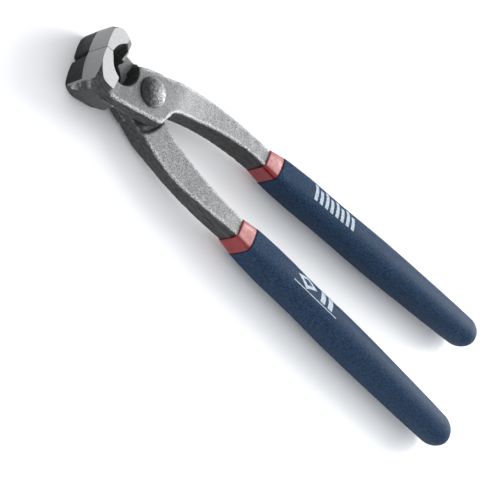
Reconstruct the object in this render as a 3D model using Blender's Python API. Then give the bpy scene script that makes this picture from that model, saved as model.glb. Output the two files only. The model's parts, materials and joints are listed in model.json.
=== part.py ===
"""End-cutting pliers (tower pincers): two forged levers on one rivet, with dipped handles.

Frame: +X along the tool towards the jaws, +Z along the rivet, metres.
The tool lies on the far side of its head, so Z = 0 is the ground far side of the jaws.
Inside this file the levers are drawn in the rivet's frame: x and y from the rivet's axis,
z from the joint's mid-plane, in millimetres. The near half has z > 0 at the rivet.
The near lever's jaw is at +y and its handle at -y; the far lever is the other way round.
"""

import math

import bmesh
import bpy

MM = 0.001

# Driving dimensions, millimetres
GAP = 0.3                    # clearance between pieces that touch on the real tool
JAW_TIP_X = 27.3             # rivet axis to the front of the jaws
GRIP_END_X = -223.7          # rivet axis to the end of the grips
HEAD_HALF = 10.5             # half of the head's width along the rivet
LAP_TOP = 8.4                # outer face of each lap, from the mid-plane
MOUTH_X = 14.9               # centre of the round mouth behind the cutting edges
MOUTH_R = 7.0
FAR_MOUTH_R = 8.1            # the far jaw's side of the mouth is ground wider
SEAM_X = 23.1                # inner end of the closed cutting edges
TURN_R = 14.2                # inside this radius each half keeps to its own side of the mid-plane
RIVET_R = 4.5
RIVET_HEAD_R = 6.0
RIVET_DOME = 2.8             # height of the domed near head
RIVET_FOOT = 1.5             # height of the low far head
GROOVE_DEPTH = 2.0           # unground V along the seam on the far half of the front
COLLAR_X = -63.7             # arm end of the red sleeve
GRIP_X = -71.5               # arm end of the blue grip
HANDLE_Y = 17.66             # handle axis at COLLAR_X, from the tool's centre line
HANDLE_SLOPE = 0.0584        # how fast the handles part, per unit of length
TANG_END_X = -206.0
SLEEVE_WALL = 1.1            # thickness of the red sleeve under the grip
LAP_FLOOR = -1.0             # where the lap starts before the turning space is cut
CUT_REACH = 20.0             # cutters run this far from the mid-plane
GROOVE_TOP = -0.5
ROUND_SIDES = 48
RIVET_SIDES = 24
FOOT_FLAT_R = 4.8            # flat middle of the rivet's far head
FOOT_EDGE = 0.5              # straight edge of that head
SLEEVE_CHAMFER = 2.0
SLEEVE_START_X = GRIP_X + 2.0

# Jaw outline at a few heights: z, front x, outer y, corner length in x, in y, rear x
NEAR_JAW = [
    (-10.5, 25.7, 12.1, 5.0, 5.5, 17.6),
    (-6.0, 26.3, 14.0, 6.0, 8.5, 13.4),
    (0.0, 26.7, 14.6, 8.0, 12.0, 11.4),
    (4.0, 26.5, 14.8, 8.5, 12.5, 11.4),
    (8.4, 26.2, 12.9, 9.7, 12.3, 13.4),
    (8.5, 26.2, 12.9, 9.7, 12.3, 16.1),
    (10.5, 26.1, 12.4, 9.7, 12.0, 16.1),
]
FAR_JAW = [
    (-10.5, 26.7, 12.4, 7.0, 9.0, 16.1),
    (-8.5, 26.9, 12.9, 6.7, 8.7, 16.1),
    (-8.4, 26.9, 12.9, 6.7, 8.7, 13.4),
    (-4.0, 27.2, 14.5, 5.5, 7.0, 13.4),
    (0.0, JAW_TIP_X, 14.3, 5.5, 6.5, 13.4),
    (5.0, 27.0, 13.0, 4.5, 5.0, 14.6),
    (10.5, 26.5, 10.6, 3.0, 3.0, 19.3),
]

# Lap outline of the near lever, from the jaw root round to the front; the mouth is cut later
LAP = [
    (17.0, 2.0), (17.0, 13.0), (14.9, 13.1), (12.3, 13.0), (8.9, 12.1), (5.5, 11.4),
    (2.1, 10.5), (-1.2, 9.5), (-4.8, 8.7), (-7.7, 8.0), (-9.3, 7.1), (-10.0, 4.6),
    (-11.4, 1.8), (-9.0, -6.0), (-4.5, -10.5), (-0.7, -9.5), (6.5, -6.5), (9.6, -4.5),
    (11.4, -3.0),
]

# Arm of the near lever: x, outer y, inner y, top z, bottom z, draft of the inner side
ARM = [
    (-2.0, -10.0, 4.0, 8.3, LAP_FLOOR, 0.0),
    (-7.0, -12.0, 4.0, 8.3, LAP_FLOOR, 0.0),
    (-11.0, -13.7, 1.6, 8.2, LAP_FLOOR, 0.2),
    (-14.3, -14.9, -1.4, 7.7, -1.1, 0.6),
    (-20.0, -17.0, -4.4, 6.2, -1.4, 1.0),
    (-30.0, -19.6, -8.6, 5.1, -2.3, 1.5),
    (-42.0, -21.0, -12.1, 4.9, -3.9, 1.5),
    (-54.0, -21.6, -13.8, 5.0, -4.9, 0.8),
]
# From here on the arm is centred on the handle axis: x, half width, half height
TANG = [
    (-60.0, 3.9, 5.1),
    (-72.0, 3.7, 4.8),
    (-80.0, 3.4, 4.3),
    (TANG_END_X, 2.8, 3.4),
]
ARM_CHAMFER = 1.4

# Sections of the dipped handles: x, width, height, squareness (2 is an ellipse)
COLLAR = [(COLLAR_X, 9.6, 12.4, 4.0), (GRIP_X + GAP, 11.6, 13.7, 4.0)]
GRIP = [
    (GRIP_X, 12.0, 14.1, 4.0), (-80.0, 13.9, 15.2, 3.2), (-90.0, 15.4, 16.0, 2.6),
    (-112.0, 16.2, 16.2, 2.3), (-142.0, 17.3, 17.3, 2.2), (-172.0, 16.9, 16.9, 2.2),
    (-200.0, 16.2, 16.2, 2.2), (-214.0, 15.4, 15.4, 2.2),
]
GRIP_SIDES = 16
GRIP_CAP_RINGS = 3
GRIP_TIP = 3.0               # small flat at the very end of a grip


def clear_scene():
    for old in list(bpy.data.objects):
        bpy.data.objects.remove(old, do_unlink=True)


def new_object(name, bm):
    """Turns a bmesh drawn in millimetres into an object whose mesh is in metres."""
    bmesh.ops.scale(bm, vec=(MM, MM, MM), verts=bm.verts)
    bmesh.ops.recalc_face_normals(bm, faces=bm.faces)
    mesh = bpy.data.meshes.new(name)
    bm.to_mesh(mesh)
    bm.free()
    obj = bpy.data.objects.new(name, mesh)
    bpy.context.scene.collection.objects.link(obj)
    return obj


def loft(name, rings):
    """Closed solid through rings of points, all with the same number of points."""
    bm = bmesh.new()
    rows = [[bm.verts.new(p) for p in ring] for ring in rings]
    count = len(rows[0])
    for low, high in zip(rows, rows[1:]):
        for i in range(count):
            j = (i + 1) % count
            bm.faces.new((low[i], low[j], high[j], high[i]))
    bm.faces.new(rows[0])
    bm.faces.new(list(reversed(rows[-1])))
    return new_object(name, bm)


def prism(name, outline, z_low, z_high):
    return loft(name, [[(x, y, z) for x, y in outline] for z in (z_low, z_high)])


def circle(radius, sides):
    steps = [2 * math.pi * i / sides for i in range(sides)]
    return [(radius * math.cos(a), radius * math.sin(a)) for a in steps]


def combine(target, other, operation):
    """Applies one exact Boolean to target and removes the other object."""
    modifier = target.modifiers.new("combine", "BOOLEAN")
    modifier.operation = operation
    modifier.solver = "EXACT"
    modifier.object = other
    depsgraph = bpy.context.evaluated_depsgraph_get()
    mesh = bpy.data.meshes.new_from_object(target.evaluated_get(depsgraph))
    target.modifiers.clear()
    target.data = mesh
    bpy.data.objects.remove(other, do_unlink=True)


def jaw_ring(level, steps=6):
    """Jaw outline at one height: front face, rounded corner, outer side, rear, seam."""
    z, front, outer, corner_x, corner_y, rear = level
    seam = GAP / 2
    ring = [(front - 0.3, seam, z)]
    for i in range(steps + 1):
        a = 0.5 * math.pi * i / steps
        x = front - corner_x * (1 - math.cos(a))
        y = outer - corner_y * (1 - math.sin(a))
        ring.append((x, y, z))
    ring.append((rear, outer - 0.4, z))
    ring.append((rear, seam, z))
    return ring


def mouth_outline(radius):
    """Round mouth drawn out to a point where the cutting edges meet."""
    reach = SEAM_X - MOUTH_X
    tangent = math.acos(radius / reach)
    steps = 20
    sweep = 2 * math.pi - 2 * tangent
    angles = [tangent + sweep * i / steps for i in range(steps + 1)]
    arc = [(MOUTH_X + radius * math.cos(a), radius * math.sin(a)) for a in angles]
    return [(SEAM_X, 0.0)] + arc


def arm_section(x, y_out, y_in, z_top, z_bottom, draft, c=ARM_CHAMFER):
    """Section of the arm with chamfers of c; its outer side is at the lower y."""
    y_foot = y_in + draft
    return [
        (x, y_out + c, z_top), (x, y_in - c, z_top), (x, y_in, z_top - c),
        (x, y_foot, z_bottom + c), (x, y_foot - c, z_bottom), (x, y_out + c, z_bottom),
        (x, y_out, z_bottom + c), (x, y_out, z_top - c),
    ]


def handle_y(x):
    return HANDLE_Y + HANDLE_SLOPE * (COLLAR_X - x)


def tang_sections(grow, chamfer, side=1.0):
    """Sections of the tang grown all round by grow, and past its end by the same."""
    sections = []
    for x, half_width, half_height in TANG:
        y = side * handle_y(x)
        wide = half_width + grow
        high = half_height + grow
        end = x - grow if x == TANG_END_X else x
        sections.append(arm_section(end, y - wide, y + wide, high, -high, 0.0, chamfer))
    return sections


def near_arm():
    arm = [arm_section(*station) for station in ARM]
    return loft("arm", arm + tang_sections(0.0, ARM_CHAMFER, side=-1.0))


def half_turn(obj):
    """Turns a mesh half a turn about the tool's long axis, near half to far half."""
    for vertex in obj.data.vertices:
        x, y, z = vertex.co
        vertex.co = (x, -y, -z)


def through_cut(body, name, outline):
    combine(body, prism(name, outline, -CUT_REACH, CUT_REACH), "DIFFERENCE")


def lever(name, jaw_levels, far):
    """One forging: arm and tang, lap, jaw; then the mouth, the turning face and the rivet hole."""
    body = near_arm()
    body.name = name
    combine(body, prism("lap", LAP, LAP_FLOOR, LAP_TOP), "UNION")
    if far:
        half_turn(body)
    jaw = loft("jaw", [jaw_ring(level) for level in jaw_levels])
    if far:
        for vertex in jaw.data.vertices:
            vertex.co.y = -vertex.co.y
        jaw.data.flip_normals()
    combine(body, jaw, "UNION")
    through_cut(body, "mouth", mouth_outline(FAR_MOUTH_R if far else MOUTH_R))
    side = -1.0 if far else 1.0
    face = side * GAP / 2
    low, high = sorted((-side * CUT_REACH, face))
    turning_space = prism("turning_space", circle(TURN_R, ROUND_SIDES), low, high)
    combine(body, turning_space, "DIFFERENCE")
    through_cut(body, "rivet_hole", circle(RIVET_R + GAP, RIVET_SIDES))
    combine(body, seam_groove(), "DIFFERENCE")
    return body


def seam_groove():
    """V along the seam on the half of the front that is left as forged."""
    front = JAW_TIP_X + 1.0
    root = JAW_TIP_X - GROOVE_DEPTH
    half = GROOVE_DEPTH + 1.0
    outline = [(root, 0.0), (front, half), (front, -half)]
    return prism("seam_groove", outline, -CUT_REACH, GROOVE_TOP)


def turned(name, profile, sides):
    """Solid of revolution about the rivet's axis from a profile of (radius, z)."""
    bm = bmesh.new()
    bottom = bm.verts.new((0.0, 0.0, profile[0][1]))
    top = bm.verts.new((0.0, 0.0, profile[-1][1]))
    rows = []
    for radius, z in profile[1:-1]:
        rows.append([bm.verts.new((x, y, z)) for x, y in circle(radius, sides)])
    for i in range(sides):
        j = (i + 1) % sides
        bm.faces.new((bottom, rows[0][j], rows[0][i]))
        bm.faces.new((top, rows[-1][i], rows[-1][j]))
        for low, high in zip(rows, rows[1:]):
            bm.faces.new((low[i], low[j], high[j], high[i]))
    return new_object(name, bm)


def rivet():
    seat = LAP_TOP + GAP
    sphere_r = (RIVET_HEAD_R ** 2 + RIVET_DOME ** 2) / (2 * RIVET_DOME)
    half_angle = math.asin(RIVET_HEAD_R / sphere_r)
    centre = seat + RIVET_DOME - sphere_r
    foot = -seat - RIVET_FOOT
    profile = [(0.0, foot), (FOOT_FLAT_R, foot), (RIVET_HEAD_R, -seat - FOOT_EDGE),
               (RIVET_HEAD_R, -seat), (RIVET_R, -seat), (RIVET_R, seat)]
    rings = 6
    for i in range(rings):
        a = half_angle * (1 - i / rings)
        profile.append((sphere_r * math.sin(a), centre + sphere_r * math.cos(a)))
    profile.append((0.0, seat + RIVET_DOME))
    return turned("pivot_rivet", profile, RIVET_SIDES)


def handle_ring(x, width, height, power):
    """Rounded ring across the handle; a higher power is squarer."""
    ring = []
    for i in range(GRIP_SIDES):
        a = 2 * math.pi * (i + 0.5) / GRIP_SIDES
        c, s = math.cos(a), math.sin(a)
        y = 0.5 * width * math.copysign(abs(c) ** (2 / power), c)
        z = 0.5 * height * math.copysign(abs(s) ** (2 / power), s)
        ring.append((x, handle_y(x) + y, z))
    return ring


def grip_body():
    """Outside of the blue grip: a swelling tube with a rounded end."""
    rings = [handle_ring(*section) for section in GRIP]
    cap_x, cap_width, _, power = GRIP[-1]
    for i in range(1, GRIP_CAP_RINGS + 1):
        a = 0.5 * math.pi * i / (GRIP_CAP_RINGS + 0.4)
        x = cap_x + (GRIP_END_X - cap_x) * math.sin(a)
        width = cap_width * math.cos(a)
        rings.append(handle_ring(x, width, width, power))
    rings.append(handle_ring(GRIP_END_X, GRIP_TIP, GRIP_TIP, power))
    return rings


def under_grip(name, grow):
    """Solid round the tang from just inside the collar to past the tang's end."""
    first, *rest = tang_sections(grow, SLEEVE_CHAMFER)[1:]
    return loft(name, [[(SLEEVE_START_X, y, z) for _, y, z in first]] + rest)


def sleeve(name):
    body = loft(name, [handle_ring(*section) for section in COLLAR])
    combine(body, under_grip("sleeve_inner", GAP + SLEEVE_WALL), "UNION")
    combine(body, loft("tang_space", tang_sections(GAP, ARM_CHAMFER)), "DIFFERENCE")
    return body


def grip(name):
    body = loft(name, grip_body())
    combine(body, under_grip("sleeve_space", 2 * GAP + SLEEVE_WALL), "DIFFERENCE")
    return body


def mirror_handle(obj):
    """Moves a handle piece from the far lever's side to the near lever's side."""
    for vertex in obj.data.vertices:
        vertex.co.y = -vertex.co.y
    obj.data.flip_normals()


def material(name, colour, roughness, metallic=0.0):
    made = bpy.data.materials.new(name)
    made.use_nodes = True
    shader = made.node_tree.nodes["Principled BSDF"]
    shader.inputs["Base Color"].default_value = (*colour, 1.0)
    shader.inputs["Roughness"].default_value = roughness
    shader.inputs["Metallic"].default_value = metallic
    return made


def finish(obj, look, sharp_degrees):
    obj.data.materials.clear()
    obj.data.materials.append(look)
    obj.data.shade_smooth()
    obj.data.set_sharp_from_angle(angle=math.radians(sharp_degrees))


def rivet_frame():
    """Empty on the rivet's axis at the joint's mid-plane; every piece hangs on it."""
    empty = bpy.data.objects.new("rivet_axis", None)
    middle = (JAW_TIP_X + GRIP_END_X) / 2
    empty.location = (-middle * MM, 0.0, HEAD_HALF * MM)
    bpy.context.scene.collection.objects.link(empty)
    return empty


def main():
    clear_scene()
    forged = (0.36, 0.36, 0.36)
    red = (0.30, 0.035, 0.035)
    blue = (0.035, 0.065, 0.13)

    near_lever = lever("near_lever", NEAR_JAW, far=False)
    finish(near_lever, material("near_forging", forged, 0.5, 1.0), 35)
    far_lever = lever("far_lever", FAR_JAW, far=True)
    finish(far_lever, material("far_forging", forged, 0.5, 1.0), 35)
    pivot = rivet()
    finish(pivot, material("rivet_steel", (0.16, 0.16, 0.16), 0.4, 1.0), 50)

    pieces = [near_lever, far_lever, pivot]
    for half in ("near", "far"):
        inner = sleeve(half + "_inner_sleeve")
        outer = grip(half + "_grip")
        for piece in (inner, outer):
            if half == "near":
                mirror_handle(piece)
            pieces.append(piece)
        finish(inner, material(half + "_red_dip", red, 0.35), 40)
        finish(outer, material(half + "_blue_dip", blue, 0.6), 60)

    frame = rivet_frame()
    for piece in pieces:
        piece.parent = frame


main()
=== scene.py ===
"""Looks of the end-cutting pliers: forged levers, hammered rivet, dipped handles.

Shapes are drawn in the rivet's frame in millimetres: x and y from the rivet's axis, z from the
joint's mid-plane, +X towards the jaws. place() turns them into metres in the CAD's frame.
"""

import json
import math

import bmesh
import bpy
import numpy as np
from mathutils import Matrix, Vector, noise


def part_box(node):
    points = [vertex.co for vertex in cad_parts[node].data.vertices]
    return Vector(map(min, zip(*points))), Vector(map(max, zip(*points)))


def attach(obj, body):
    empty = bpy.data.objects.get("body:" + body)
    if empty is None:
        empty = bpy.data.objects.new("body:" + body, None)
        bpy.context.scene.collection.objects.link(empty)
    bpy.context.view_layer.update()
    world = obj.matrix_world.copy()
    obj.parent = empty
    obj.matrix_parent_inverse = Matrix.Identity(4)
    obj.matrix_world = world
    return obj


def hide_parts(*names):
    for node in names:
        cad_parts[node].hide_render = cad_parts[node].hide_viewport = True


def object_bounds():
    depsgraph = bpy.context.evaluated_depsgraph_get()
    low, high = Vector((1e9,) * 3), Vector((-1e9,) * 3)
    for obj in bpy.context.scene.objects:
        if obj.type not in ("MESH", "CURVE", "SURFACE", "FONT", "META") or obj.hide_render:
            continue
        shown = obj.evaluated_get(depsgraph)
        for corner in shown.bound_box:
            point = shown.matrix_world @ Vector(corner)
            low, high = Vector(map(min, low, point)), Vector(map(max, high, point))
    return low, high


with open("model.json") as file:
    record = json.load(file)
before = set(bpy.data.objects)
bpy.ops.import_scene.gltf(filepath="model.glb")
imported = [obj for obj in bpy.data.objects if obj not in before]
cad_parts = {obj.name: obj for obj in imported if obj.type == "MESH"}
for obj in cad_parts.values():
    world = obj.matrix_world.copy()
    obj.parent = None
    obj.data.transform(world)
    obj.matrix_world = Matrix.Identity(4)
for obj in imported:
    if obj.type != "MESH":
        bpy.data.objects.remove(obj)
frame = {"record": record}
cad_low, cad_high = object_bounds()

MM = 0.001
PIVOT = Vector(frame["record"]["behaviour"]["joints"][0]["pos_m"])


def local(corner):
    """A point of the CAD's frame in the rivet's frame, in millimetres."""
    return (Vector(corner) - PIVOT) / MM


# Sizes read from the frame
HEAD_HALF = local(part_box("far_lever")[1]).z
COLLAR_X = local(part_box("far_inner_sleeve")[1]).x
GRIP_X = local(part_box("far_grip")[1]).x
GRIP_END_X = local(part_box("far_grip")[0]).x
TANG_END_X = local(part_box("far_lever")[0]).x
DOME_TOP = local(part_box("pivot_rivet")[1]).z
FOOT_LOW = local(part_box("pivot_rivet")[0]).z

# Head and laps
LAP_TOP = 8.4                # outer face of each lap, from the mid-plane
HEAD_REAR_X = 10.0           # the head's ground sides start here
SEAM_GAP = 0.2               # between the closed jaws
SEAM_X = 23.1                # inner end of the cutting edges
MOUTH_X = 14.9               # centre of the round mouth
MOUTH_R = 7.0
FAR_MOUTH_R = 8.3            # the far lever's mouth flares to this at its near face
TURN_R = 14.2                # inside this radius each lever keeps to its own side
FACE_GAP = 0.15              # from the mid-plane to each lap's inner face
HOLE_R = 4.7
RIVET_HEAD_R = 6.0
SHANK_R = 4.4
DOME_STEPS = 24
HIGHLIGHT_SIDE = Vector((-0.86, -0.51))    # which way the painted highlight on the rivet's head lies; the opposite side is left dark as painted shade

# Front of the jaws
FACET_Y = 11.0               # outer end of the dark bevel on the far half of the front
NEAR_LEAN = 0.061            # slope of the front towards the near face
BEVEL_LEAN = 0.085           # slope of the bevel towards the far face, at the seam
BEVEL_STEP = 0.12            # the bevel lies this far behind the ground front
GROOVE_DEPTH = 1.5           # V along the seam
GROOVE_HALF = 1.2
GROOVE_START = 0.25          # the V has its full depth this far from the mid-plane

# Making of the forgings
REACH = 60.0                 # cutters run this far from the rivet along x and y
CUT_REACH = 20.0             # and this far from the mid-plane
JAW_OVERLAP = 1.5            # rough jaws run past the seam and the head's sides
CURVE_STEPS = 5
VOXEL = 0.34                 # cell of the mesh that carries the forged surface
SMOOTHING = 8                # passes that round the forging's edges
WEAR_PASSES = 10             # passes of the average that proud edges are measured from
FORGED, SIDE, FRONT, BEVEL = range(4)   # finishes of a lever's faces

# Handles
HANDLE_Y = 17.66             # handle axis at COLLAR_X, from the tool's centre line
HANDLE_SLOPE = 0.0584        # how fast the handles part
SLEEVE_BORE = (8.1, 10.6)    # width and height inside the red collar
GRIP_BORE = (11.0, 13.0)     # width and height inside the blue grip
RIM_STEPS = 6
CAP_STEPS = 12
INK_CELLS = 10
INK_LAYERS = (-0.15, 0.09)   # bottom and top of the ink, from the grip's surface

# Outline of the near lap: x, y
LAP = [
    (17.0, 2.0), (17.0, 13.0), (14.9, 13.3), (12.3, 13.2), (8.9, 12.3), (5.5, 11.6),
    (2.1, 10.7), (-1.2, 9.7), (-4.8, 8.9), (-7.7, 8.2), (-9.5, 7.3), (-10.2, 4.6),
    (-11.6, 1.8), (-7.5, -3.0),
    (-3.5, -9.0), (-0.7, -9.3), (6.5, -6.4), (9.6, -4.5), (11.6, -2.9),
]
# Arm of the near lever: x, outer y, inner y, top z, bottom z, draft of the inner side
ARM = [
    (-1.0, -9.5, 4.0, 8.4, -1.0, 0.0),
    (-7.0, -12.1, 4.0, 8.4, -1.0, 0.0),
    (-11.0, -13.7, 1.6, 8.3, -1.0, 0.2),
    (-14.3, -14.9, -1.5, 7.8, -1.1, 0.6),
    (-20.0, -17.1, -4.6, 6.3, -1.4, 1.1),
    (-30.0, -19.8, -8.6, 5.1, -2.3, 1.6),
    (-42.0, -21.2, -12.1, 5.0, -3.9, 1.6),
    (-54.0, -21.7, -13.8, 5.2, -5.0, 1.0),
    (-62.0, -21.7, -13.9, 5.3, -5.3, 0.4),
    (-72.0, -21.9, -14.5, 4.8, -4.8, 0.0),
]
# Rough jaw outlines before grinding: z, rear x, points from the front round to the rear
NEAR_JAW = [
    (-10.5, 17.4, [(28.5, 0), (28.0, 3.5), (26.8, 6.8), (25.2, 9.3), (23.4, 11.2),
                   (21.6, 12.1), (19.6, 12.5), (17.6, 12.2)]),
    (-6.0, 12.6, [(29.0, 0), (28.8, 3.8), (27.4, 7.6), (25.6, 10.4), (23.8, 12.5),
                  (21.4, 13.8), (17.5, 14.4), (13.0, 13.9)]),
    (-2.0, 9.4, [(29.5, 0), (29.2, 4.0), (28.0, 8.0), (26.0, 11.1), (24.0, 12.9),
                 (21.6, 14.2), (17.0, 15.0), (10.0, 14.0)]),
    (4.0, 9.8, [(29.5, 0), (29.3, 4.0), (28.2, 8.0), (26.2, 11.2), (24.0, 13.0),
                (21.6, 14.4), (17.0, 15.2), (10.4, 14.3)]),
    (8.4, 12.5, [(29.2, 0), (28.2, 2.3), (27.0, 5.2), (25.5, 7.9), (23.8, 10.4),
                 (21.9, 12.2), (19.7, 13.0), (15.6, 13.1)]),
    (8.7, 16.2, [(29.2, 0), (28.1, 2.2), (26.9, 5.1), (25.4, 7.8), (23.7, 10.3),
                 (21.8, 12.1), (19.7, 12.9), (16.4, 13.0)]),
    (10.5, 16.2, [(29.0, 0), (27.6, 1.5), (26.4, 3.8), (25.1, 6.2), (23.5, 9.2),
                  (21.7, 11.4), (19.7, 12.2), (16.4, 12.5)]),
]
FAR_JAW = [
    (-10.5, 16.2, [(29.2, 0), (29.2, 3.0), (28.8, 6.0), (27.7, 8.6), (26.0, 10.8),
                   (23.6, 12.2), (20.0, 12.7), (16.4, 12.8)]),
    (-8.7, 16.2, [(29.3, 0), (29.3, 3.0), (29.0, 6.2), (28.0, 9.0), (26.3, 11.6),
                  (23.8, 13.0), (20.0, 13.3), (16.4, 13.2)]),
    (-8.4, 12.5, [(29.3, 0), (29.3, 3.0), (29.0, 6.2), (28.0, 9.1), (26.3, 11.7),
                  (23.8, 13.1), (20.0, 13.4), (15.6, 13.2)]),
    (-4.0, 11.6, [(29.5, 0), (29.4, 4.0), (28.9, 8.0), (27.6, 11.5), (25.6, 13.7),
                  (22.8, 14.7), (20.0, 14.9), (14.0, 14.1)]),
    (0.0, 13.2, [(29.5, 0), (29.3, 4.0), (28.6, 8.0), (27.0, 11.4), (25.2, 13.2),
                 (22.8, 14.1), (20.0, 14.3), (14.0, 13.4)]),
    (6.0, 15.2, [(29.3, 0), (29.0, 4.0), (28.2, 7.5), (26.8, 10.2), (25.0, 12.1),
                 (22.8, 12.8), (20.5, 12.8), (16.2, 12.2)]),
    (10.5, 19.3, [(29.0, 0), (28.6, 3.5), (27.6, 6.5), (26.2, 8.8), (24.4, 10.4),
                  (23.0, 10.7), (21.6, 10.5), (20.0, 9.9)]),
]
# Front surface ground across each jaw: |y|, x at the mid-plane
NEAR_FRONT = [(0, 26.6), (2.7, 26.45), (5.6, 25.95), (8.5, 25.1), (11.5, 23.95), (13.6, 22.5),
              (14.8, 20.9), (17.0, 17.5)]
FAR_FRONT = [(0, 26.6), (2.2, 27.05), (5.6, 27.3), (9.2, 27.1), (11.0, 26.5), (12.6, 25.4),
             (13.8, 23.9), (17.0, 18.0)]

# Sections of the dipped handles: x, width, height, squareness (2 is an ellipse)
COLLAR = [(COLLAR_X, 9.5, 12.3, 4.4), (GRIP_X, 11.6, 13.6, 4.2)]
GRIP = [
    (GRIP_X, 12.1, 14.1, 4.0), (-76.0, 12.9, 14.6, 3.7), (-82.0, 14.2, 15.3, 3.0),
    (-92.0, 15.6, 16.1, 2.5), (-112.0, 16.2, 16.2, 2.25), (-142.0, 17.3, 17.3, 2.2),
    (-172.0, 16.9, 16.9, 2.2), (-200.0, 16.2, 16.2, 2.2), (-214.0, 15.5, 15.5, 2.2),
]


# ---------------------------------------------------------------- mesh tools

def place(mesh):
    """Moves a mesh from the rivet's frame in millimetres to the CAD's frame in metres."""
    mesh.transform(Matrix.Translation(PIVOT) @ Matrix.Scale(MM, 4))


def new_object(name, mesh):
    obj = bpy.data.objects.new(name, mesh)
    bpy.context.scene.collection.objects.link(obj)
    return obj


def from_bmesh(name, bm):
    bmesh.ops.recalc_face_normals(bm, faces=bm.faces)
    mesh = bpy.data.meshes.new(name)
    bm.to_mesh(mesh)
    bm.free()
    return new_object(name, mesh)


def loft(name, rings):
    """Closed solid through rings that all have the same number of points."""
    bm = bmesh.new()
    rows = [[bm.verts.new(p) for p in ring] for ring in rings]
    count = len(rows[0])
    for low, high in zip(rows, rows[1:]):
        for i in range(count):
            j = (i + 1) % count
            bm.faces.new((low[i], low[j], high[j], high[i]))
    bm.faces.new(rows[0])
    bm.faces.new(list(reversed(rows[-1])))
    return from_bmesh(name, bm)


def prism(name, outline, z_low, z_high):
    return loft(name, [[(x, y, z) for x, y in outline] for z in (z_low, z_high)])


def box(name, low, high):
    outline = [(low[0], low[1]), (high[0], low[1]), (high[0], high[1]), (low[0], high[1])]
    return prism(name, outline, low[2], high[2])


def circle(radius, sides):
    angles = [2 * math.pi * i / sides for i in range(sides)]
    return [(radius * math.cos(a), radius * math.sin(a)) for a in angles]


def mirror_y(obj):
    obj.data.transform(Matrix.Scale(-1, 4, (0, 1, 0)))
    obj.data.flip_normals()


def flip_half(obj):
    """Half a turn about the tool's long axis."""
    obj.data.transform(Matrix.Rotation(math.pi, 4, "X"))


def bake_modifiers(obj):
    depsgraph = bpy.context.evaluated_depsgraph_get()
    mesh = bpy.data.meshes.new_from_object(obj.evaluated_get(depsgraph))
    obj.modifiers.clear()
    old = obj.data
    obj.data = mesh
    bpy.data.meshes.remove(old)


def combine(target, other, operation):
    """Joins or cuts target with another solid, which it uses up."""
    modifier = target.modifiers.new("combine", "BOOLEAN")
    modifier.operation = operation
    modifier.solver = "EXACT"
    modifier.object = other
    bake_modifiers(target)
    bpy.data.objects.remove(other, do_unlink=True)


def curve_through(points, steps):
    """Catmull-Rom points through points of any dimension, ends included."""
    p = [np.array(q, float) for q in points]
    p = [2 * p[0] - p[1]] + p + [2 * p[-1] - p[-2]]
    out = []
    for a, b, c, d in zip(p, p[1:], p[2:], p[3:]):
        for i in range(steps):
            t = i / steps
            out.append(0.5 * (2 * b + (c - a) * t + (2 * a - 5 * b + 4 * c - d) * t * t
                              + (3 * b - a - 3 * c + d) * t ** 3))
    out.append(p[-2])
    return out


def smooth_step(low, high, value):
    t = np.clip((value - low) / (high - low), 0.0, 1.0)
    return t * t * (3 - 2 * t)


def vertex_array(mesh, field):
    """Places or normals of a mesh's vertices, one row for each."""
    values = np.empty(len(mesh.vertices) * 3)
    mesh.vertices.foreach_get(field, values)
    return values.reshape(-1, 3)


def store(mesh, name, values):
    """Gives each vertex a number that the materials read."""
    layer = mesh.attributes.new(name, "FLOAT", "POINT")
    layer.data.foreach_set("value", np.asarray(values, np.float32))


def roughen(mesh, amount, size, seed):
    """Low hills along the vertex normals, amount high and size wide."""
    co = vertex_array(mesh, "co")
    offset = Vector((seed, 3.1 * seed, 7.7 * seed))
    hills = np.array([noise.noise(Vector(p) / size + offset) for p in co])
    co += vertex_array(mesh, "normal") * (amount * hills)[:, None]
    mesh.vertices.foreach_set("co", co.ravel())
    mesh.update()


def shade(obj, degrees):
    obj.data.shade_smooth()
    obj.data.set_sharp_from_angle(angle=math.radians(degrees))


# ---------------------------------------------------------------- forged levers

def arm_ring(x, y_out, y_in, top, bottom, draft):
    """Arm section with drafted sides that meet on a parting line at mid-height."""
    middle = 0.5 * (top + bottom)
    return [
        (x, y_out + 0.35, top), (x, y_in - 0.1, top), (x, y_in + 0.4 + 0.4 * draft, middle),
        (x, y_in + draft, bottom), (x, y_out + 0.7, bottom), (x, y_out - 0.2, middle),
    ]


def offset_outline(outline, distance):
    """Moves a counter-clockwise outline outwards by distance."""
    moved = []
    count = len(outline)
    for i in range(count):
        a = Vector(outline[i - 1])
        b = Vector(outline[i])
        c = Vector(outline[(i + 1) % count])
        n1 = Vector(((b - a).y, -(b - a).x)).normalized()
        n2 = Vector(((c - b).y, -(c - b).x)).normalized()
        n = (n1 + n2).normalized()
        moved.append(tuple(b + n * distance))
    return moved


def lap_body():
    """Lap plate whose side wall has a parting line half-way up."""
    levels = [(-1.0, -0.8), (0.2, -0.5), (4.0, 1.0), (8.0, 0.35), (LAP_TOP, 0.1)]
    return loft("lap", [[(x, y, z) for x, y in offset_outline(LAP, grow)] for z, grow in levels])


def jaw_body(levels):
    """Rough jaw through its outlines, run on past the seam and both sides of the head."""
    rings = []
    for z, rear, points in levels:
        outline = [tuple(p) for p in curve_through(points, CURVE_STEPS)]
        outline += [(rear, outline[-1][1] - 0.3), (rear, -JAW_OVERLAP), (points[0][0], -JAW_OVERLAP)]
        rings.append([(x, y, z) for x, y in outline])
    for end, neighbour in ((0, 1), (-1, -2)):
        last = np.array(rings[end])
        step = last - np.array(rings[neighbour])
        step *= JAW_OVERLAP / abs(step[0][2])
        extra = [tuple(p) for p in last + step]
        rings.insert(0 if end == 0 else len(rings), extra)
    return loft("jaw", rings)


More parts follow.
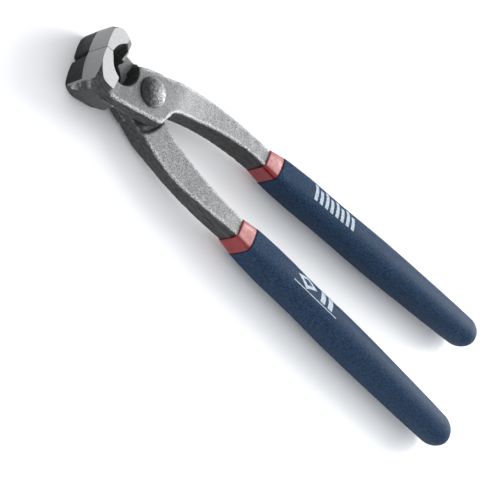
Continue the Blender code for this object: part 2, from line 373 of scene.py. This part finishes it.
def mouth_outline(radius):
    """Round mouth drawn out to a point where the cutting edges meet."""
    reach = max(SEAM_X - MOUTH_X, radius + 0.05)
    tangent = math.acos(radius / reach)
    steps = 40
    sweep = 2 * math.pi - 2 * tangent
    angles = [tangent + sweep * i / steps for i in range(steps + 1)]
    arc = [(MOUTH_X + radius * math.cos(a), radius * math.sin(a)) for a in angles]
    return [(MOUTH_X + reach, 0.0)] + arc


def front_x(y, z):
    """Ground front surface of both jaws; the seam is at y = 0, the near lever's jaw at +y."""
    table = NEAR_FRONT if y > 0 else FAR_FRONT
    out = abs(y)
    x = float(np.interp(out, [p[0] for p in table], [p[1] for p in table]))
    if z >= 0:
        return x - NEAR_LEAN * z
    bevel = BEVEL_LEAN * min(-z, 12.0) * max(0.0, 1 - out / FACET_Y)
    groove = GROOVE_DEPTH * float(1 - smooth_step(0.0, GROOVE_HALF, out)) * min(1.0, -z / GROOVE_START)
    return x - bevel - groove - (BEVEL_STEP if out < FACET_Y else 0.0)


def front_cutter():
    """Everything in front of the ground front surface, as one solid."""
    facet_ends = [-FACET_Y, -FACET_Y - 0.05, FACET_Y, FACET_Y + 0.05]
    whole_width, groove_width = np.arange(-17, 17.1, 0.6), np.arange(-2.4, 2.41, 0.2)
    ys = sorted(set(np.round(np.concatenate([whole_width, facet_ends, groove_width]), 3)))
    zs = [13.0, 10.5, 8.0, 6.0, 4.0, 2.0, 0.0, -0.25, -1.0, -2.0, -4.0, -6.0, -8.0, -10.5, -13.0]
    bm = bmesh.new()
    front = [[bm.verts.new((front_x(y, z), y, z)) for y in ys] for z in zs]
    back = [[bm.verts.new((45.0, y, z)) for y in ys] for z in zs]
    rows, columns = len(zs), len(ys)
    for grid in (front, back):
        for i in range(rows - 1):
            for j in range(columns - 1):
                bm.faces.new((grid[i][j], grid[i][j + 1], grid[i + 1][j + 1], grid[i + 1][j]))
    for i in range(rows - 1):
        for j in (0, columns - 1):
            bm.faces.new((front[i][j], front[i + 1][j], back[i + 1][j], back[i][j]))
    for j in range(columns - 1):
        for i in (0, rows - 1):
            bm.faces.new((front[i][j], front[i][j + 1], back[i][j + 1], back[i][j]))
    return from_bmesh("front", bm)


def soft_places(mesh, co):
    """Where each vertex lies once averaged with its neighbours, WEAR_PASSES times."""
    ends = np.empty(len(mesh.edges) * 2, int)
    mesh.edges.foreach_get("vertices", ends)
    a, b = ends[0::2], ends[1::2]
    count = len(co)
    degree = np.bincount(a, minlength=count) + np.bincount(b, minlength=count)
    soft = co.copy()
    for _ in range(WEAR_PASSES):
        total = np.zeros_like(soft)
        for axis in range(3):
            total[:, axis] += np.bincount(a, weights=soft[b, axis], minlength=count)
            total[:, axis] += np.bincount(b, weights=soft[a, axis], minlength=count)
        soft = total / np.maximum(degree, 1)[:, None]
    return soft


def store_masks(mesh, far):
    """Stores where a forging is worn, where its hollows are, where it is linished, where it is flat
    and kept free of painted side shade, and how much painted shade darkens it towards the head, each
    from 0 to 1; the hollows get painted shade too.
    """
    co = vertex_array(mesh, "co")
    normals = vertex_array(mesh, "normal")
    x, y, z = co.T
    side = -1.0 if far else 1.0
    flatness = np.abs(normals[:, 2])
    from_rivet = np.hypot(x, y)
    from_mouth = np.hypot(x - MOUTH_X, y)
    proud = ((co - soft_places(mesh, co)) * normals).sum(1)

    wear = smooth_step(0.02, 0.11, proud)
    wear *= smooth_step(0.12, 0.45, flatness)
    wear *= smooth_step(MOUTH_R + 0.6, MOUTH_R + 3.0, from_mouth)
    # Painted shade: hollows, found as vertices lying below their averaged neighbours, are darkened.
    hollow_shade = smooth_step(0.02, 0.16, -proud)
    if far:
        wear[(from_rivet < TURN_R + 3.5) & (z > -2.5)] *= 0.2
        sheltered = (x > 4) & (z > -3)
        wear[sheltered] *= 0.15
        hollow_shade[sheltered] *= 0.3
    else:
        wear[(y > FACET_Y) & (x > MOUTH_X)] *= 0.25
    # Flats keep their light tone; all other faces take the dark side tone, which is painted shade.
    unshaded_flat = smooth_step(0.45, 0.85, flatness)
    # Painted shadow: inside the turning radius, the lever's face against the other lap takes the dark
    # side tone.
    unshaded_flat[(from_rivet < TURN_R + 0.5) & (side * z < 1.2)] = 0.0
    wall = (x > 8) & (side * y > 9)
    band = smooth_step(-4.6, -2.4, side * z) * (1 - smooth_step(3.7, 4.6, side * z))

    store(mesh, "wear", wear)
    store(mesh, "hollow_shade", hollow_shade)
    store(mesh, "unshaded_flat", unshaded_flat)
    store(mesh, "linished", wall * band)
    # Painted shade: flats darken from 20 mm behind the rivet up to 4 mm in front of it, and stay
    # darker over the head.
    store(mesh, "head_shade", 0.5 * smooth_step(-20, 4, x))


def handle_y(x):
    return HANDLE_Y + HANDLE_SLOPE * (COLLAR_X - x)


def tang():
    """The part of a near lever's handle bar that its sleeve covers."""
    rings = []
    for x, wide, high in ((-68.0, 3.6, 4.8), (-80.0, 3.3, 4.2), (TANG_END_X, 2.7, 3.3)):
        y = -handle_y(x)
        corners = [(y - wide, -high), (y + wide, -high), (y + wide, high), (y - wide, high)]
        rings.append([(x, cy, cz) for cy, cz in corners])
    return loft("tang", rings)


def mouth_cutter(far):
    """Space of the mouth, which flares towards the near face on the far lever."""
    flare = FAR_MOUTH_R if far else MOUTH_R
    levels = ((-CUT_REACH, MOUTH_R), (0, MOUTH_R), (HEAD_HALF, flare), (CUT_REACH, flare))
    return loft("mouth", [[(x, y, z) for x, y in mouth_outline(r)] for z, r in levels])


def turning_cutter(side):
    """Space that the other lever's lap turns in."""
    levels = ((FACE_GAP, TURN_R - 1.0), (-1.2, TURN_R + 0.2), (-CUT_REACH, TURN_R + 0.2))
    return loft("turning", [[(x, y, side * z) for x, y in circle(r, 96)] for z, r in levels])


def round_edges(obj):
    """Remeshes a lever finely and softens it as a forging."""
    remesh = obj.modifiers.new("skin", "REMESH")
    remesh.mode = "VOXEL"
    remesh.voxel_size = VOXEL
    smooth = obj.modifiers.new("round", "SMOOTH")
    smooth.factor = 0.5
    smooth.iterations = SMOOTHING
    bake_modifiers(obj)


def grind_and_drill(lever, side):
    """Cuts both sides of the head, the seam, the front and the rivet's hole."""
    seam_low, seam_high = sorted((side * SEAM_GAP / 2, -side * 6.0))
    cutters = [
        box("near_face", (HEAD_REAR_X, -REACH, HEAD_HALF), (REACH, REACH, CUT_REACH)),
        box("far_face", (HEAD_REAR_X, -REACH, -CUT_REACH), (REACH, REACH, -HEAD_HALF)),
        box("seam", (SEAM_X - 3.0, seam_low, -CUT_REACH), (REACH, seam_high, CUT_REACH)),
        front_cutter(),
        prism("hole", circle(HOLE_R, 48), -CUT_REACH, CUT_REACH),
    ]
    for cutter in cutters:
        combine(lever, cutter, "DIFFERENCE")


def forged_lever(name, levels, far):
    """Arm, lap and jaw forged in one, with the tang added and the head ground."""
    side = -1 if far else 1
    lever = loft(name, [arm_ring(*s) for s in curve_through(ARM, CURVE_STEPS)])
    combine(lever, lap_body(), "UNION")
    jaw = jaw_body(levels)
    bar = tang()
    if far:
        flip_half(lever)
        flip_half(bar)
        mirror_y(jaw)
    combine(lever, jaw, "UNION")
    combine(lever, mouth_cutter(far), "DIFFERENCE")
    if far:
        combine(lever, box("relief", (6.6, -17.0, -3.0), (12.0, -1.0, CUT_REACH)), "DIFFERENCE")
    combine(lever, turning_cutter(side), "DIFFERENCE")
    round_edges(lever)
    roughen(lever.data, 0.10, 3.2, 1.0 + far)
    roughen(lever.data, 0.05, 0.9, 4.0 + far)
    store_masks(lever.data, far)
    combine(lever, bar, "UNION")
    grind_and_drill(lever, side)
    return lever


def face_finish(center, normal):
    """Finish of a lever's face, from where it lies and which way it looks."""
    x, y, z = center
    if x > HEAD_REAR_X and abs(z) > HEAD_HALF - 0.02 and abs(normal.z) > 0.98:
        return SIDE
    if normal.x > 0.3 and x > 15 and abs(x - front_x(y, z)) < 0.1:
        if z < 0 and abs(y) < FACET_Y:
            return BEVEL
        # Painted shade: the outer end of the near jaw's front is given the forged skin so that it
        # comes out dark.
        return FORGED if y > FACET_Y + 0.8 else FRONT
    if x > SEAM_X - 3 and abs(abs(y) - SEAM_GAP / 2) < 0.01:
        return BEVEL
    return FORGED


# ---------------------------------------------------------------- rivet and handles

def hammer(mesh, seat):
    """Dents the dome above its seat, least near its edge."""
    for vertex in mesh.vertices:
        x, y, z = vertex.co
        if z > seat:
            p = Vector((x, y, z))
            dent = noise.noise(p / 1.9) * 0.16 + noise.noise(p / 0.8) * 0.07
            strength = 1.0 if math.hypot(x, y) < RIVET_HEAD_R - 0.6 else 0.35
            swell = 1 + 0.012 * noise.noise(Vector((x, y, 0)) / 2.4)
            vertex.co.z = min(DOME_TOP - 0.02, z - 0.16 + dent * strength)
            vertex.co.x *= swell
            vertex.co.y *= swell


def rivet():
    """Hammered dome on the near lap, shank, and a low head on the far lap."""
    head = RIVET_HEAD_R
    seat = LAP_TOP + 0.1
    edge = seat + 0.25
    profile = [
        (0.01, FOOT_LOW), (2.5, FOOT_LOW), (head - 1.3, FOOT_LOW + 0.1),
        (head - 0.4, FOOT_LOW + 0.55), (head - 0.1, -seat - 0.3), (head - 0.2, -seat),
        (SHANK_R, -seat), (SHANK_R, 0.0), (SHANK_R, seat), (head - 0.25, seat), (head, edge),
    ]
    for i in range(1, DOME_STEPS):
        a = 0.5 * math.pi * i / DOME_STEPS
        rise = (DOME_TOP - edge) * math.sin(a) ** 1.05
        profile.append((head * math.cos(a) ** 0.8, edge + rise))
    profile.append((0.01, DOME_TOP))
    obj = loft("pivot_rivet_dome", [[(x, y, z) for x, y in circle(r, 96)] for r, z in profile])
    hammer(obj.data, seat)
    # Painted highlight on one side of the head, fading across to painted shade on the other.
    painted_highlight = []
    for vertex in obj.data.vertices:
        across = vertex.co.xy.dot(HIGHLIGHT_SIDE) / head
        patchy = 0.25 * noise.noise(vertex.co / 1.1)
        painted_highlight.append(smooth_step(-0.75, 0.95, across + patchy))
    store(obj.data, "painted_highlight", painted_highlight)
    return obj


def section_point(x, angle, width, height, power, grow=0.0):
    """Point of a handle's section, a rounded rectangle; grow moves it outwards."""
    c, s = math.cos(angle), math.sin(angle)
    y = (0.5 * width + grow) * math.copysign(abs(c) ** (2 / power), c)
    z = (0.5 * height + grow) * math.copysign(abs(s) ** (2 / power), s)
    return (x, handle_y(x) + y, z)


def handle_ring(x, width, height, power, sides):
    angles = [2 * math.pi * (i + 0.5) / sides for i in range(sides)]
    return [section_point(x, a, width, height, power) for a in angles]


def rolled_rim(end_x, rim, bore, outside, power, sides):
    """Rings round the rim of a dipped skin, from its bore to the outside size at each x."""
    rings = []
    for i in range(RIM_STEPS + 1):
        a = math.pi * i / RIM_STEPS
        x = end_x - rim + rim * math.sin(a)
        t = 0.5 - 0.5 * math.cos(a)
        size = [low + (high - low) * t for low, high in zip(bore, outside(x))]
        rings.append(handle_ring(x, *size, power, sides))
    return rings


GRIP_CURVE = np.array(curve_through(GRIP, 8))


def grip_section(x):
    """Width, height and squareness of the blue grip at x."""
    return [float(np.interp(-x, -GRIP_CURVE[:, 0], GRIP_CURVE[:, k])) for k in (1, 2, 3)]


def keep_inside(mesh):
    """Holds the roughened skin inside the frame's box."""
    widest = (cad_high[1] - cad_low[1]) / 2 / MM - 0.02
    for vertex in mesh.vertices:
        vertex.co.x = max(vertex.co.x, GRIP_END_X)
        vertex.co.y = min(vertex.co.y, widest)


def grip(name, seed):
    """Thick dipped skin: the wall inside the rim, the rolled rim, the outside and its round end."""
    sides = 72
    tip_x = GRIP[-1][0]
    rings = [handle_ring(GRIP_X + depth, *GRIP_BORE, 4.0, sides) for depth in (-14.0, -6.0, -1.0)]
    rings += rolled_rim(GRIP_X, 0.55, GRIP_BORE, lambda x: grip_section(x)[:2], 4.0, sides)
    for x in np.arange(GRIP_X - 1.2, tip_x, -1.6):
        rings.append(handle_ring(float(x), *grip_section(float(x)), sides))
    width, height, power = grip_section(tip_x)
    for i in range(CAP_STEPS):
        a = 0.5 * math.pi * i / CAP_STEPS
        x = tip_x - (tip_x - GRIP_END_X) * math.sin(a)
        shrink = math.cos(a) ** 0.85
        rings.append(handle_ring(x, width * shrink, height * shrink, power, sides))
    rings.append(handle_ring(GRIP_END_X, 0.4, 0.4, power, sides))
    obj = loft(name, rings)
    roughen(obj.data, 0.05, 9.0, seed)
    keep_inside(obj.data)
    return obj


def sleeve(name, seed):
    """Red first dip: shows as a collar, then runs thin under the blue grip."""
    sides = 64
    steps = 14
    first, last = COLLAR
    rings = [handle_ring(COLLAR_X + depth, *SLEEVE_BORE, 5.0, sides) for depth in (-5.0, -0.5)]
    rings += rolled_rim(COLLAR_X, 0.45, SLEEVE_BORE, lambda x: first[1:3], 4.6, sides)
    start_x, end_x = first[0] - 0.5, last[0] + 0.45
    for i in range(1, steps + 1):
        t = i / steps
        width = first[1] + (last[1] - first[1]) * t
        height = first[2] + (last[2] - first[2]) * t
        rings.append(handle_ring(start_x + (end_x - start_x) * t, width, height, first[3], sides))
    rings.append(handle_ring(GRIP_X + 0.3, last[1] - 0.5, last[2] - 0.5, 4.0, sides))
    rings.append(handle_ring(GRIP_X + 0.2, 10.8, 12.8, 4.0, sides))
    rings.append(handle_ring(GRIP_X - 16.0, 10.2, 12.2, 4.0, sides))
    obj = loft(name, rings)
    roughen(obj.data, 0.06, 4.0, seed)
    # Painted reflection: flats that look up are marked to be painted light pink.
    store(obj.data, "painted_top_reflection", smooth_step(0.80, 0.98, vertex_array(obj.data, "normal")[:, 2]))
    return obj


def patch_grid(corners):
    """Places (x, angle) spread evenly between four corners (x, degrees)."""
    grid = []
    for i in range(INK_CELLS + 1):
        row = []
        for j in range(INK_CELLS + 1):
            u, v = i / INK_CELLS, j / INK_CELLS
            weights = ((1 - u) * (1 - v), u * (1 - v), u * v, (1 - u) * v)
            x = sum(w * c[0] for w, c in zip(weights, corners))
            degrees = sum(w * c[1] for w, c in zip(weights, corners))
            row.append((x, math.radians(degrees)))
        grid.append(row)
    return grid


def print_patch(corners):
    """Thin closed patch of ink on the grip; corners are (x, degrees round the section)."""
    bm = bmesh.new()
    grid = patch_grid(corners)
    low, high = [[[bm.verts.new(section_point(x, a, *grip_section(x), grow)) for x, a in row]
                  for row in grid] for grow in INK_LAYERS]
    n = INK_CELLS
    for layer in (low, high):
        for i in range(n):
            for j in range(n):
                bm.faces.new((layer[i][j], layer[i + 1][j], layer[i + 1][j + 1], layer[i][j + 1]))
    rim = [(i, 0) for i in range(n)] + [(n, j) for j in range(n)]
    rim += [(i, n) for i in range(n, 0, -1)] + [(0, j) for j in range(n, 0, -1)]
    for (i, j), (k, m) in zip(rim, rim[1:] + rim[:1]):
        bm.faces.new((low[i][j], low[k][m], high[k][m], high[i][j]))
    return from_bmesh("patch", bm)


def join(name, parts):
    bm = bmesh.new()
    for part in parts:
        bm.from_mesh(part.data)
        bpy.data.objects.remove(part, do_unlink=True)
    return from_bmesh(name, bm)


def bars_print(name):
    """Row of slanted bars, long and short in turn."""
    parts = []
    for i in range(8):
        x = -92.5 - 3.6 * i
        low = 58 if i % 2 == 0 else 68
        parts.append(print_patch([(x, 104), (x - 2.0, 104), (x - 0.6, low), (x + 1.4, low)]))
    return join(name, parts)


def diamond_print(name):
    """Hollow diamond followed by two bars, between two thin lines."""
    parts = [print_patch([(-97.0, 84), (-126.0, 84), (-126.0, 86.5), (-97.0, 86.5)]),
             print_patch([(-98.0, 131), (-127.0, 131), (-127.0, 134), (-98.0, 134)])]
    centre_x, centre_a, reach_x, reach_a, inner = -105.0, 107.0, 6.6, 19.0, 0.5
    tips = [(reach_x, 0), (0, reach_a), (-reach_x, 0), (0, -reach_a)]
    for (ax, aa), (bx, ba) in zip(tips, tips[1:] + tips[:1]):
        parts.append(print_patch([
            (centre_x + ax, centre_a + aa), (centre_x + bx, centre_a + ba),
            (centre_x + inner * bx, centre_a + inner * ba),
            (centre_x + inner * ax, centre_a + inner * aa)]))
    for x in (-114.5, -119.5):
        parts.append(print_patch([(x, 90), (x - 3.0, 90), (x - 3.0, 126), (x, 126)]))
    return join(name, parts)


# ---------------------------------------------------------------- materials

class Nodes:
    """Short way to wire a Principled material."""

    def __init__(self, name):
        self.material = bpy.data.materials.new(name)
        self.material.use_nodes = True
        self.tree = self.material.node_tree
        self.shader = self.tree.nodes["Principled BSDF"]
        self.coordinates = self.add("ShaderNodeTexCoord").outputs["Object"]

    def add(self, kind, **settings):
        node = self.tree.nodes.new(kind)
        for key, value in settings.items():
            setattr(node, key, value)
        return node

    def link(self, source, target):
        self.tree.links.new(source, target)

    def stretched(self, x, y, z):
        node = self.add("ShaderNodeMapping")
        node.inputs["Scale"].default_value = (x / MM, y / MM, z / MM)
        self.link(self.coordinates, node.inputs["Vector"])
        return node.outputs["Vector"]

    def noise(self, size_mm, detail=2.0, roughness=0.6, vector=None):
        """Noise with features about size_mm wide."""
        node = self.add("ShaderNodeTexNoise")
        node.inputs["Detail"].default_value = detail
        node.inputs["Roughness"].default_value = roughness
        node.inputs["Scale"].default_value = 1.0 / size_mm
        self.link(vector or self.stretched(1, 1, 1), node.inputs["Vector"])
        return node.outputs["Fac"]

    def attribute(self, name):
        return self.add("ShaderNodeAttribute", attribute_name=name).outputs["Fac"]

    def between(self, value, low, high, out_low=0.0, out_high=1.0):
        node = self.add("ShaderNodeMapRange")
        node.inputs["From Min"].default_value = low
        node.inputs["From Max"].default_value = high
        node.inputs["To Min"].default_value = out_low
        node.inputs["To Max"].default_value = out_high
        self.link(value, node.inputs["Value"])
        return node.outputs["Result"]

    def times(self, a, b):
        node = self.add("ShaderNodeMath", operation="MULTIPLY")
        for socket, value in zip(node.inputs, (a, b)):
            if isinstance(value, (int, float)):
                socket.default_value = value
            else:
                self.link(value, socket)
        return node.outputs["Value"]

    def mix(self, factor, a, b):
        node = self.add("ShaderNodeMix", data_type="RGBA")
        self.link(factor, node.inputs["Factor"])
        for socket, value in zip((node.inputs[6], node.inputs[7]), (a, b)):
            if isinstance(value, tuple):
                socket.default_value = (*value, 1.0)
            else:
                self.link(value, socket)
        return node.outputs[2]

    def bump(self, height, distance_mm, strength, previous=None):
        node = self.add("ShaderNodeBump")
        node.inputs["Distance"].default_value = distance_mm * MM
        node.inputs["Strength"].default_value = strength
        self.link(height, node.inputs["Height"])
        if previous is not None:
            self.link(previous, node.inputs["Normal"])
        return node.outputs["Normal"]

    def set(self, **values):
        """Sets the shader's sockets; an underscore stands for a space in a socket's name."""
        for key, value in values.items():
            socket = self.shader.inputs[key.replace("_", " ")]
            if isinstance(value, tuple):
                socket.default_value = (*value, 1.0)
            elif isinstance(value, (int, float)):
                socket.default_value = value
            else:
                self.link(value, socket)


def grey(level):
    return (level, level * 1.005, level * 1.01)


def forged_skin():
    """Shot-blasted forging: light grey speckled flats, sides darkened by painted shade, bright ragged
    worn edges, and painted shade in the hollows and on the flats towards the head.
    """
    n = Nodes("forged_skin")
    speckle = n.noise(0.55, 3.0, 0.7)
    patches = n.noise(5.0, 3.0)
    lines = n.noise(1.0, 3.0, 0.6, n.stretched(0.12, 1.6, 1.6))
    flat = n.mix(n.between(speckle, 0.40, 0.60), grey(0.10), grey(0.36))
    flat = n.mix(n.between(patches, 0.3, 0.7, 0.0, 0.4), flat, grey(0.17))
    # Painted shade on the flats towards the head.
    flat = n.mix(n.attribute("head_shade"), flat, grey(0.10))
    # Side tone: dark with lengthwise lines; its darkness is painted shade.
    side = n.mix(n.between(lines, 0.38, 0.62), grey(0.018), grey(0.062))
    side = n.mix(n.attribute("linished"), side, grey(0.055))
    # Light flats, with sides in painted shade.
    colour = n.mix(n.attribute("unshaded_flat"), side, flat)
    ragged = n.times(n.attribute("wear"), n.between(speckle, 0.40, 0.56))
    colour = n.mix(ragged, colour, grey(0.52))
    # Painted shade darkens the hollows.
    colour = n.mix(n.times(n.attribute("hollow_shade"), 0.55), colour, grey(0.05))
    grain = n.bump(speckle, 0.12, 0.55)
    n.set(Base_Color=colour, Metallic=0.35, Normal=n.bump(n.noise(1.6, 3.0), 0.25, 0.3, grain),
          Roughness=n.between(speckle, 0.3, 0.7, 0.50, 0.68))
    return n.material


def ground_steel(name, level, roughness, contrast, grain_direction, specular=0.5):
    """Face ground on a belt: fine parallel scratches and a little mottling."""
    n = Nodes(name)
    scratches = n.noise(1.0, 2.0, 0.5, n.stretched(*grain_direction))
    mottle = n.noise(1.6, 3.0)
    tone = n.mix(n.between(scratches, 0.3, 0.7), grey(level * (1 - contrast)), grey(level))
    tone = n.mix(n.between(mottle, 0.35, 0.7, 0.0, contrast * 1.6), tone, grey(level * 0.75))
    n.set(Base_Color=tone, Metallic=0.4, Specular_IOR_Level=specular,
          Roughness=n.between(scratches, 0.3, 0.7, roughness, roughness + 0.12),
          Normal=n.bump(scratches, 0.02, 0.35))
    return n.material


def rivet_steel():
    """Dark hammered steel, with a painted highlight on one side of the head and painted shade on the
    other.
    """
    n = Nodes("rivet_hammered")
    speckle = n.noise(0.7, 3.0, 0.7)
    blots = n.noise(2.2, 2.0)
    # Dark steel; on the side away from the highlight it also stands for painted shade.
    dark_steel_and_shade = n.mix(n.between(speckle, 0.38, 0.62), grey(0.006), grey(0.045))
    # Painted highlight tone, broken by darker blots.
    highlight_tone = n.mix(n.between(speckle, 0.40, 0.60), grey(0.14), grey(0.62))
    highlight_tone = n.mix(n.between(blots, 0.50, 0.68, 0.0, 0.7), highlight_tone, grey(0.10))
    tone = n.mix(n.attribute("painted_highlight"), dark_steel_and_shade, highlight_tone)
    n.set(Base_Color=tone, Metallic=0.25, Specular_IOR_Level=0.3,
          Roughness=n.between(speckle, 0.3, 0.7, 0.34, 0.5),
          Normal=n.bump(speckle, 0.15, 0.6, n.bump(blots, 0.4, 0.4)))
    return n.material


def red_dip():
    """Glossy red dip, with a painted reflection that makes it light pink where a flat looks up."""
    n = Nodes("red_dip")
    cloud = n.noise(3.0, 3.0)
    tone = n.mix(n.between(cloud, 0.35, 0.7), (0.19, 0.007, 0.009), (0.26, 0.013, 0.014))
    # Light pink of the painted reflection on the upward flats.
    highlight_tone = n.mix(n.between(cloud, 0.35, 0.65), (0.42, 0.16, 0.15), (0.56, 0.29, 0.28))
    tone = n.mix(n.attribute("painted_top_reflection"), tone, highlight_tone)
    n.set(Base_Color=tone, Roughness=n.between(cloud, 0.3, 0.7, 0.26, 0.38),
          Normal=n.bump(n.noise(0.9, 2.0), 0.04, 0.3), Coat_Weight=1.0, Coat_Roughness=0.10,
          Specular_IOR_Level=0.0)
    return n.material


def blue_dip():
    """Matt vinyl with a fine even grain."""
    n = Nodes("blue_dip")
    grain = n.noise(0.75, 3.0, 0.7)
    cloud = n.noise(9.0, 2.0)
    tone = n.mix(n.between(grain, 0.38, 0.62), (0.009, 0.016, 0.032), (0.027, 0.062, 0.122))
    tone = n.mix(n.between(cloud, 0.35, 0.7, 0.0, 0.35), tone, (0.016, 0.034, 0.068))
    n.set(Base_Color=tone, Roughness=n.between(grain, 0.3, 0.7, 0.50, 0.66), Specular_IOR_Level=0.07,
          Normal=n.bump(grain, 0.16, 0.7, n.bump(n.noise(2.5, 2.0), 0.08, 0.2)))
    return n.material


def print_ink():
    """Pale ink, a little worn."""
    n = Nodes("print_ink")
    wear = n.noise(0.9, 3.0, 0.7)
    n.set(Base_Color=n.mix(n.between(wear, 0.36, 0.62), (0.19, 0.25, 0.31), (0.42, 0.49, 0.54)),
          Roughness=n.between(wear, 0.3, 0.7, 0.5, 0.7), Normal=n.bump(wear, 0.04, 0.3))
    return n.material


def floor_paint():
    n = Nodes("floor_paint")
    cloud = n.noise(80.0, 2.0)
    n.set(Base_Color=n.mix(cloud, (0.90, 0.90, 0.90), (0.92, 0.92, 0.92)), Roughness=0.9,
          Specular_IOR_Level=0.1)
    return n.material


# ---------------------------------------------------------------- assembly

def finish_piece(obj, materials, degrees, body, node):
    """Paints and places a piece, hangs it on its body's empty and hides the part of model.glb that it
    stands in for; a print hides no part.
    """
    obj.data.materials.clear()
    for material in materials:
        obj.data.materials.append(material)
    if len(materials) > 1:
        for face in obj.data.polygons:
            face.material_index = face_finish(face.center, face.normal)
    place(obj.data)
    shade(obj, degrees)
    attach(obj, body)
    if node:
        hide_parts(node)


def build_levers():
    """Both forgings, with their finishes in the order FORGED, SIDE, FRONT, BEVEL."""
    finishes = [
        forged_skin(),
        ground_steel("ground_side", 0.50, 0.50, 0.24, (0.4, 3.0, 3.0)),
        ground_steel("ground_front", 0.24, 0.40, 0.20, (3.0, 0.5, 3.0)),
        ground_steel("dark_bevel", 0.020, 0.50, 0.3, (3.0, 0.8, 2.0), 0.2),
    ]
    for half, levels in (("near", NEAR_JAW), ("far", FAR_JAW)):
        lever = forged_lever(half + "_lever_forging", levels, far=half == "far")
        finish_piece(lever, finishes, 32, half + "_half", half + "_lever")


def build_rivet():
    finish_piece(rivet(), [rivet_steel()], 50, "far_half", "pivot_rivet")


def build_handles():
    """Both handles are drawn at +Y, the far lever's side; the near one is mirrored."""
    red = red_dip()
    blue = blue_dip()
    ink = print_ink()
    for seed, half, draw_print in ((1.3, "near", bars_print), (2.6, "far", diamond_print)):
        inner = sleeve(half + "_red_sleeve", seed)
        outer = grip(half + "_blue_grip", seed + 5)
        mark = draw_print(half + "_print")
        if half == "near":
            for piece in (inner, outer, mark):
                mirror_y(piece)
        finish_piece(inner, [red], 40, half + "_half", half + "_inner_sleeve")
        finish_piece(outer, [blue], 60, half + "_half", half + "_grip")
        finish_piece(mark, [ink], 40, half + "_half", None)


def build_floor():
    bm = bmesh.new()
    bmesh.ops.create_grid(bm, x_segments=8, y_segments=8, size=4.0)
    floor = from_bmesh("floor", bm)
    floor.data.materials.append(floor_paint())


def build_lights():
    """An even white room and three softboxes on the handles' side of the tool."""
    world = bpy.data.worlds.new("studio")
    bpy.context.scene.world = world
    world.use_nodes = True
    background = world.node_tree.nodes["Background"]
    background.inputs["Color"].default_value = (0.95, 0.97, 1.0, 1.0)
    background.inputs["Strength"].default_value = 0.99

    aim = Vector((0.0, 0.0, 0.01))
    for name, direction, distance, size, power in (
            ("key_softbox", (-0.60, -0.52, 0.60), 0.9, 0.38, 3.9),
            ("side_softbox", (-0.80, -0.50, 0.24), 0.9, 0.22, 4.2),
            ("top_softbox", (-0.50, -0.30, 0.81), 1.2, 0.9, 2.0)):
        data = bpy.data.lights.new(name, "AREA")
        data.size = size
        data.energy = power
        light = bpy.data.objects.new(name, data)
        bpy.context.scene.collection.objects.link(light)
        light.location = aim + Vector(direction).normalized() * distance
        light.rotation_euler = (aim - light.location).to_track_quat("-Z", "Y").to_euler()


def build_camera():
    """Camera of a product shot: high over the jaws' corner, rolled so the handles run down."""
    data = bpy.data.cameras.new("camera")
    data.lens = 85.42
    data.sensor_width = 36.0
    data.clip_start = 0.01
    camera = bpy.data.objects.new("camera", data)
    bpy.context.scene.collection.objects.link(camera)
    from_pivot = Vector((183.74, 246.09, 336.07))
    right = Vector((-0.6337, -0.3177, 0.7053))
    up = Vector((0.5587, -0.8186, 0.1333))
    back = right.cross(up).normalized()
    up = back.cross(right).normalized()
    turn = Matrix((right.normalized(), up, back)).transposed()
    camera.matrix_world = Matrix.Translation(PIVOT + from_pivot * MM) @ turn.to_4x4()
    bpy.context.scene.camera = camera
    bpy.context.scene.view_settings.view_transform = "Standard"


build_camera()
build_floor()
build_lights()
build_levers()
build_rivet()
build_handles()
